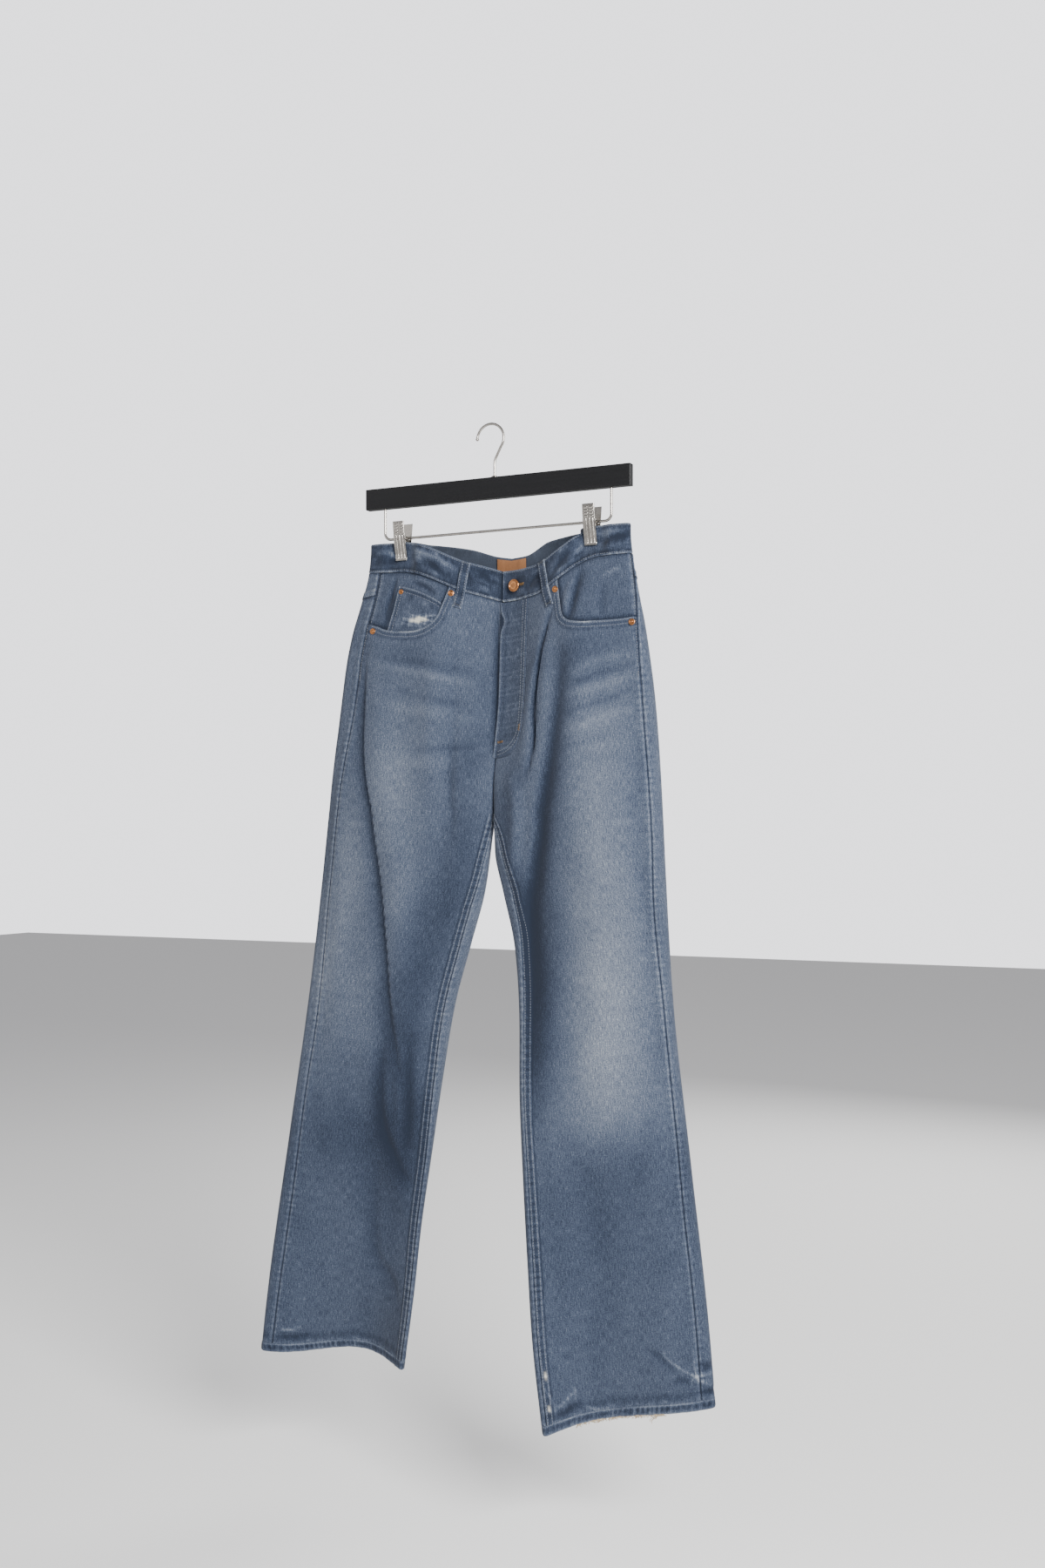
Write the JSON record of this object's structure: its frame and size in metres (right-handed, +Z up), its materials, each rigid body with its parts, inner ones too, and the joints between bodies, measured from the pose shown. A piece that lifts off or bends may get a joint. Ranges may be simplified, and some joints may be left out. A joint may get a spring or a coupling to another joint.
{
  "type": "pair of jeans on a clip hanger",
  "caption": "Full-length straight jeans held by the waistband on a bar hanger with two clips, legs hanging open and slightly turned.",
  "frame": {"origin": "inner crown of the hanger's hook, where it hangs on a rail", "axes": "+X along the hanger's bar to the viewer's right, -Y out of the front of the jeans, +Z up"},
  "size_m": [0.6436, 0.1691, 1.2795],
  "materials": {
    "denim": "faded mid-blue denim, matt",
    "denim_band": "darker blue denim, matt",
    "denim_hem": "worn roped denim, matt",
    "leather": "plain vegetable-tanned leather",
    "copper": "polished copper",
    "black_paint": "black paint, satin",
    "steel": "nickel-plated wire and sheet"
  },
  "bodies": {
    "root": {"front_left": "denim", "front_right": "denim", "back_left": "denim", "back_right": "denim", "yoke_left": "denim", "yoke_right": "denim", "fly": "denim", "coin_pocket": "denim", "facing_left": "denim", "facing_right": "denim", "back_pocket_left": "denim", "back_pocket_right": "denim", "waistband": "denim_band", "loop_front_left": "denim_band", "loop_front_right": "denim_band", "loop_back_left": "denim_band", "loop_back_right": "denim_band", "loop_back_centre": "denim_band", "hem_left": "denim_hem", "hem_right": "denim_hem", "label": "leather", "rivet_1": "copper", "rivet_2": "copper", "rivet_3": "copper", "rivet_4": "copper", "rivet_5": "copper", "waist_button": "copper", "hanger_bar": "black_paint", "hook": "steel", "lower_wire": "steel", "clip_left_front": "steel", "clip_left_rear": "steel", "clip_left_spring": "steel", "clip_right_front": "steel", "clip_right_rear": "steel", "clip_right_spring": "steel"}
  },
  "joints": []
}
